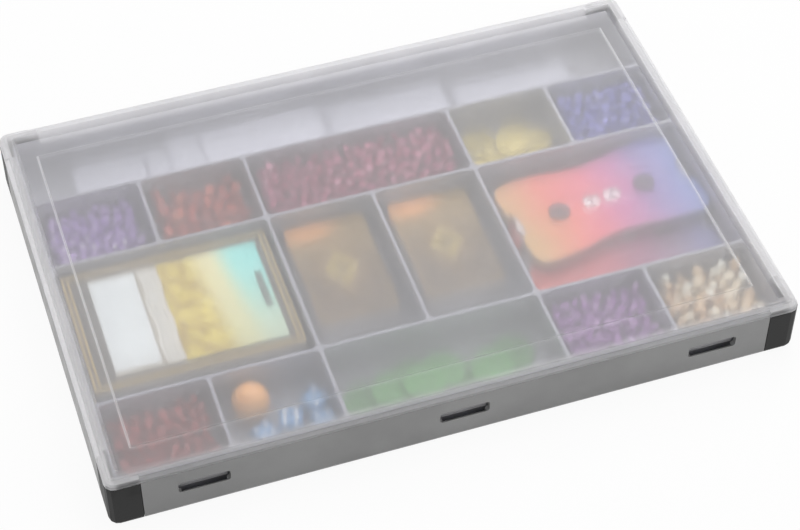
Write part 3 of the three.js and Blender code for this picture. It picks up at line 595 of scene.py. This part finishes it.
def dial_numbers(level, digit, digits):
    """Ten numbers round a dial; the shown one stands upright in the cover's window."""
    centre = Vector(JOINTS[f"{level}_{digit}_turn"]["pos_m"])
    centre.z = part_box(f"counter_{level}_{digit}_dial")[1].z + DIGIT_LIFT
    shown = SHOWN_DIGITS[f"{level}_{digit}"]
    facing = 0.0 if digit == "tens" else math.pi
    build = bmesh.new()
    for n, mesh in enumerate(digits):
        angle = COUNTER_TURNS[level] + facing + (n - shown) * math.tau / DIGITS
        spot = centre + Vector((math.cos(angle), math.sin(angle), 0)) * DIGIT_RING
        copied = mesh.copy()
        copied.transform(Matrix.Translation(spot) @ Matrix.Rotation(angle - facing, 4, "Z"))
        build.from_mesh(copied)
        bpy.data.meshes.remove(copied)
    name = f"{level}_{digit}_numbers"
    add_object(name, built_mesh(name, build), digit_ink, f"{level}_{digit}_dial")


wear("counter_upper_cover", counter_print("counter_print_upper", "upper", UPPER_STOPS))
wear("counter_lower_cover", counter_print("counter_print_lower", "lower", LOWER_STOPS, 0.1))
board = moulded("counter_board", (0.10, 0.085, 0.10), 0.6, 0.15, 1400)
dial_board = moulded("dial_board", (0.93, 0.91, 0.92), 0.55, 0.03, 1600)
hub_plastic = moulded("hub_plastic", (0.05, 0.04, 0.055), 0.35, 0.05)
digit_ink = moulded("digit_ink", (0.08, 0.06, 0.10), 0.5, 0.05)
digit_meshes = [digit_mesh(str(n)) for n in range(DIGITS)]
for level in COUNTER_TURNS:
    wear(f"counter_{level}_back", board)
    for digit in ("tens", "units"):
        wear(f"counter_{level}_{digit}_dial", dial_board)
        wear(f"counter_{level}_{digit}_hub", hub_plastic)
        dial_numbers(level, digit, digit_meshes)


# Coins, tokens, ball and dice: the coins' radii are in millimetres

COINS, TOKENS, DICE, DARKER_TOKENS = 7, 8, 4, 4
BOSS, RAYS_FROM, RAYS_TO, COIN_RIM_FADE = (2.6, 3.0), (3.2, 3.8), (7.4, 8.0), (1.4, 0.5)
RAYS, COIN_RELIEF, COIN_ROUGHNESS = 12.0, 0.35 * MM, 0.34

PIPS = {
    1: [(0, 0)], 2: [(-1, -1), (1, 1)], 3: [(-1, -1), (0, 0), (1, 1)],
    4: [(-1, -1), (-1, 1), (1, -1), (1, 1)], 5: [(-1, -1), (-1, 1), (1, -1), (1, 1), (0, 0)],
    6: [(-1, -1), (-1, 0), (-1, 1), (1, -1), (1, 0), (1, 1)],
}
DIE_SIZE, PIP_RADIUS, PIP_STEP, PIP_FLATNESS = 12 * MM, 1.15 * MM, 2.9 * MM, 0.12
DIE_TURNS = [0.4, -0.3, 0.7, 0.15]
DIE_FACES = [((0, 0, 1), 3), ((0, -1, 0), 2), ((1, 0, 0), 6), ((-1, 0, 0), 1), ((0, 1, 0), 5)]


def coin(name, node, colour, metal):
    """A struck disc: rays round a plain boss, pressed as a shallow relief."""
    net = Net(name)
    x, y, _, _ = local(net, middle(node))
    rim, _ = half_size(node)
    radius = net.distance(x, y)
    rays = net.math("SINE", net.times(net.math("ARCTAN2", y, x), RAYS))
    zone = net.times(net.smooth(radius, *RAYS_FROM), net.smooth(radius, *RAYS_TO, 1.0, 0.0))
    relief = net.math("ADD", net.times(net.smooth(rays, -0.4, 0.4), zone),
                      net.smooth(radius, *BOSS, 1.0, 0.0))
    worn = net.smooth(net.noise(300, 3), 0.35, 0.7)
    shade = net.mix(worn, dimmed(colour, 0.8), colour)
    edge = from_edge(net, radius, rim, COIN_RIM_FADE)
    shade = net.mix(net.times(edge, 0.75), shade, dimmed(colour, 0.3))
    shade = net.mix(net.times(relief, 0.3), shade, dimmed(colour, 0.45))
    return net.surface(net.principled({
        "Base Color": shade, "Metallic": metal,
        "Roughness": net.smooth(worn, 0, 1, COIN_ROUGHNESS + 0.08, COIN_ROUGHNESS),
        "Normal": net.bump(relief, COIN_RELIEF),
    }))


def marbled(name, dark, light, scale=60, roughness=0.22):
    """Swirled glossy plastic."""
    net = Net(name)
    warped = net.add("VectorMath", {0: net.position(), 1: net.noise(40, 2, output="Color")}, operation="ADD")
    swirl = net.smooth(net.noise(scale, 3, 0.5, vector=warped), 0.35, 0.65)
    return net.surface(net.principled({
        "Base Color": net.mix(swirl, dark, light), "Roughness": roughness, "Coat Weight": 0.3,
        "Normal": net.bump(net.noise(900, 2), 0.02 * MM),
    }))


def die_pips():
    """White pips that lie on the dice's faces, each a low dome."""
    build = bmesh.new()
    for i, die_turn in enumerate(DIE_TURNS):
        stand = Matrix.Translation(middle(f"blue_die_{i + 1}")) @ Matrix.Rotation(die_turn, 4, "Z")
        for number, (normal, pips) in enumerate(DIE_FACES):
            normal = Vector(normal)
            across = Vector((1, 0, 0)) if abs(normal.x) < 0.5 else Vector((0, 1, 0))
            other = normal.cross(across)
            flatten = Matrix.Scale(PIP_FLATNESS, 4, normal)
            for a, b in PIPS[(pips + i * 2 + number) % 6 + 1]:
                spot = normal * (DIE_SIZE / 2) + (across * a + other * b) * PIP_STEP
                made = bmesh.ops.create_uvsphere(build, u_segments=10, v_segments=6, radius=PIP_RADIUS)
                bmesh.ops.transform(
                    build, matrix=stand @ Matrix.Translation(spot) @ flatten, verts=made["verts"])
    add_object("die_pips", built_mesh("die_pips", build), pip_white, "box", smooth=True)


for i in range(1, COINS + 1):
    wear(f"coin_{i}", coin(f"coin_plastic_{i}", f"coin_{i}", (0.80, 0.64, 0.16), 0.2))
for i in range(1, TOKENS + 1):
    green = dimmed((0.075, 0.36, 0.055), 0.8 if i <= DARKER_TOKENS else 1.0)
    wear(f"green_token_{i}", coin(f"green_plastic_{i}", f"green_token_{i}", green, 0.0))
wear("orange_ball", marbled("orange_plastic", (0.88, 0.36, 0.07), (0.95, 0.50, 0.16)))
die_blue = marbled("blue_plastic", (0.05, 0.18, 0.40), (0.10, 0.30, 0.56), 50, 0.2)
pip_white = moulded("pip_white", (0.88, 0.88, 0.90), 0.4, 0.02)
for i in range(1, DICE + 1):
    wear(f"blue_die_{i}", die_blue)
die_pips()


# Loose stones, poured into their compartments

WALL_CLEAR, CROWN = 0.8 * MM, 2.5 * MM
# Plain stones take shades up to PLAIN_SHADE; the painted glints take the ramp's last colour.
PLAIN_SHADE, GLINT_SHADE = 0.66, 1.0
STONE_POINTS, STONE_SQUASH, STONE_TILT, STONE_SPIN = 13, (1.0, 0.86, 0.72), 0.9, 6.28
POINT_REACH_SHARES, SIZE_SHARES = (0.86, 1.0), (0.82, 1.1)
TRIES, SUNK_SHARE, CLOSE_SHARE, SETTLE_SHARE, TOP_SHARE = 14, 0.62, 0.78, 0.75, 0.8
GLINT_LIFT_SHARE, GLINT_CHOICE = 0.75, 4

# Heap, slot, seed, stones, size and glints (how many, of what size) in millimetres, and the shades, the last of
# which colours the painted glints
STONES = [
    ("violet_crystals", "violet_stone", 11, 420, 7.5, (12, 2.8),
     [(0.27, 0.16, 0.45), (0.40, 0.22, 0.62), (0.54, 0.36, 0.76), (1.0, 0.98, 1.0)]),
    ("red_crystals", "red_stone", 12, 200, 9.5, (3, 10.0),
     [(0.28, 0.04, 0.04), (0.44, 0.06, 0.05), (0.60, 0.12, 0.07), (1.0, 0.36, 0.22)]),
    ("crimson_crystals", "crimson_stone", 13, 640, 7.8, (12, 5.5),
     [(0.36, 0.06, 0.12), (0.42, 0.08, 0.16), (0.50, 0.14, 0.25), (0.85, 0.38, 0.52)]),
    ("blue_crystals", "blue_stone", 14, 330, 7.8, (3, 6.5),
     [(0.09, 0.08, 0.36), (0.17, 0.16, 0.56), (0.28, 0.27, 0.72), (0.72, 0.72, 0.95)]),
    ("red_front_crystals", "red_stone", 15, 340, 8.0, (2, 4.5),
     [(0.32, 0.05, 0.05), (0.37, 0.05, 0.05), (0.42, 0.08, 0.08), (0.60, 0.22, 0.18)]),
    ("violet_front_crystals", "violet_stone", 16, 380, 7.2, (8, 4.0),
     [(0.25, 0.10, 0.33), (0.38, 0.15, 0.46), (0.50, 0.26, 0.58), (0.70, 0.44, 0.74)]),
    ("amber_crystals", "amber_stone", 17, 260, 8.8, (10, 6.5),
     [(0.55, 0.30, 0.14), (0.86, 0.62, 0.36), (0.97, 0.88, 0.68), (1.0, 1.0, 0.88)]),
]


def stone_material(name, colours):
    """Clear coloured plastic. Each stone takes its own shade from the value its mesh carries."""
    net = Net(name)
    own = net.add("Attribute", output="Fac", attribute_name="shade")
    shade = net.ramp(own, [(i / (len(colours) - 1), colour) for i, colour in enumerate(colours)])
    veins = net.smooth(net.noise(220, 3), 0.4, 0.7, 0.0, 0.35)
    shade = net.mix(veins, shade, tuple(min(1, c * 1.3 + 0.03) for c in colours[-2]))
    return net.surface(net.principled({
        "Base Color": shade, "Roughness": 0.12, "IOR": 1.49, "Transmission Weight": 0.12,
        "Normal": net.bump(net.noise(500, 2), 0.03 * MM),
    }))


def chip(build, layer, chance, place, radius, shade, floor_z):
    """One chipped stone: the hull of some random points, tilted, and set down at its place."""
    made = []
    for _ in range(STONE_POINTS):
        direction = Vector((chance.gauss(0, 1), chance.gauss(0, 1), chance.gauss(0, 1))).normalized()
        squashed = Vector([part * share for part, share in zip(direction, STONE_SQUASH)])
        made.append(build.verts.new(squashed * radius * chance.uniform(*POINT_REACH_SHARES)))
    bmesh.ops.convex_hull(build, input=made, use_existing_faces=False)
    kept = [v for v in made if v.link_faces]
    bmesh.ops.delete(build, geom=[v for v in made if not v.link_faces], context="VERTS")
    spin = Matrix.Rotation(chance.uniform(0, STONE_SPIN), 4, "Z")
    tilt = Matrix.Rotation(chance.uniform(-STONE_TILT, STONE_TILT), 4, "X")
    bmesh.ops.transform(build, matrix=Matrix.Translation(place) @ (spin @ tilt), verts=kept)
    lowest = min(v.co.z for v in kept)
    for v in kept:
        v[layer] = shade
        v.co.z += max(0.0, floor_z - lowest)


def lowest_place(chance, low, high, radius, settled):
    """The lowest of some random places, each on the floor or on the stones that lie under it."""
    best = None
    for _ in range(TRIES):
        x = chance.uniform(low.x + radius, high.x - radius)
        y = chance.uniform(low.y + radius, high.y - radius)
        z = low.z + radius * SUNK_SHARE
        for other_x, other_y, other_z, other_radius in settled:
            reach = (radius + other_radius) * CLOSE_SHARE
            gap = math.hypot(x - other_x, y - other_y)
            if gap < reach:
                z = max(z, other_z + math.sqrt(reach * reach - gap * gap) * SETTLE_SHARE)
        if best is None or z < best[2]:
            best = (x, y, z)
    return best


def heap_space(node):
    """The heap's compartment, clear of its walls, from the CAD heap's foot to a crown above its top."""
    low, high = (corner.copy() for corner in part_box(node))
    opening = OPENINGS[node.replace("crystals", "stone_compartment")]
    for axis in (0, 1):
        low[axis], high[axis] = opening[0][axis] + WALL_CLEAR, opening[1][axis] - WALL_CLEAR
    high.z += CROWN
    return low, high


def stone_heap(node, material, seed, count, size, glints):
    """Chipped stones settled one on another across the compartment, with a few pale chips on top as painted
    glints.
    """
    chance = random.Random(seed)
    low, high = heap_space(node)
    build = bmesh.new()
    layer = build.verts.layers.float.new("shade")
    settled = []
    for _ in range(count):
        radius = size / 2 * chance.uniform(*SIZE_SHARES)
        x, y, z = lowest_place(chance, low, high, radius, settled)
        if z + radius * TOP_SHARE > high.z:
            continue
        settled.append((x, y, z, radius))
        chip(build, layer, chance, (x, y, z), radius, chance.uniform(0, PLAIN_SHADE), low.z)
    glint_count, glint_size = glints
    glint = glint_size * MM / 2
    tops = sorted(settled, key=lambda stone: -stone[2])[:glint_count * GLINT_CHOICE]
    for x, y, z, radius in chance.sample(tops, min(glint_count, len(tops))):
        height = min(z + radius * GLINT_LIFT_SHARE, high.z - glint)
        chip(build, layer, chance, (x, y, height), glint, GLINT_SHADE, low.z)
    name = f"{node}_stones"
    piece = add_object(name, built_mesh(name, build), material, "box")
    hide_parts(node)


for node, slot, seed, count, size, glints, colours in STONES:
    stone_heap(node, stone_material(f"{node}_look", colours), seed, count, size * MM, glints)


# Floor, world and lamps, in metres

FLOOR_HALF, FLOOR_WHITE_SHARE = 6.0, 0.93
WORLD_STRENGTH = 0.50
LAMPS = [
    ("softbox_above", (0.25, 0.45, 1.7), (1.6, 1.1), 12),
    ("softbox_rear", (0.75, 1.15, 1.05), (0.9, 0.6), 8),
    ("softbox_right", (0.95, -0.7, 0.55), (0.5, 0.5), 1.2),
]


def camera_white(net, shader, share):
    """Shows a share of plain white to the camera, to gloss and to clear plastic, and keeps the shadow."""
    rays = ("Is Camera Ray", "Is Glossy Ray", "Is Transmission Ray")
    seen = net.largest(*(net.add("LightPath", output=ray) for ray in rays))
    white = net.add("Emission", {"Color": (1, 1, 1), "Strength": 1.0})
    return net.blend(net.times(seen, share), shader, white)


def floor():
    net = Net("floor")
    paper = net.mix(net.smooth(net.noise(4, 2), 0.3, 0.7), (0.86, 0.86, 0.86), (0.88, 0.88, 0.88))
    shader = net.principled({"Base Color": paper, "Roughness": 0.9, "Specular IOR Level": 0.1})
    mesh = bpy.data.meshes.new("floor")
    corners = [(x * FLOOR_HALF, y * FLOOR_HALF, 0) for x, y in ((-1, -1), (1, -1), (1, 1), (-1, 1))]
    mesh.from_pydata(corners, [], [(0, 1, 2, 3)])
    mesh.materials.append(net.surface(camera_white(net, shader, FLOOR_WHITE_SHARE)))
    piece = bpy.data.objects.new("floor", mesh)
    bpy.context.scene.collection.objects.link(piece)


def surroundings():
    """An even white world, dimmer for lighting than it looks to the camera."""
    world = bpy.data.worlds.new("world")
    bpy.context.scene.world = world
    world.use_nodes = True
    tree = world.node_tree
    tree.nodes.clear()
    path = tree.nodes.new("ShaderNodeLightPath")
    mixed = tree.nodes.new("ShaderNodeMixShader")
    tree.links.new(path.outputs["Is Camera Ray"], mixed.inputs[0])
    for socket, strength in ((1, WORLD_STRENGTH), (2, 1.0)):
        white = tree.nodes.new("ShaderNodeBackground")
        white.inputs["Color"].default_value = (1, 1, 1, 1)
        white.inputs["Strength"].default_value = strength
        tree.links.new(white.outputs[0], mixed.inputs[socket])
    out = tree.nodes.new("ShaderNodeOutputWorld")
    tree.links.new(mixed.outputs[0], out.inputs["Surface"])


def lamp(name, place, size, power):
    """A soft rectangular lamp that shines at the middle of the box's underside."""
    data = bpy.data.lights.new(name, "AREA")
    data.shape = "RECTANGLE"
    data.size, data.size_y = size
    data.energy = power
    holder = bpy.data.objects.new(name, data)
    holder.location = place
    holder.rotation_euler = (-Vector(place)).to_track_quat("-Z", "Y").to_euler()
    bpy.context.scene.collection.objects.link(holder)


floor()
surroundings()
for name, place, size, power in LAMPS:
    lamp(name, place, size, power)

bpy.context.scene.view_settings.view_transform = "Standard"
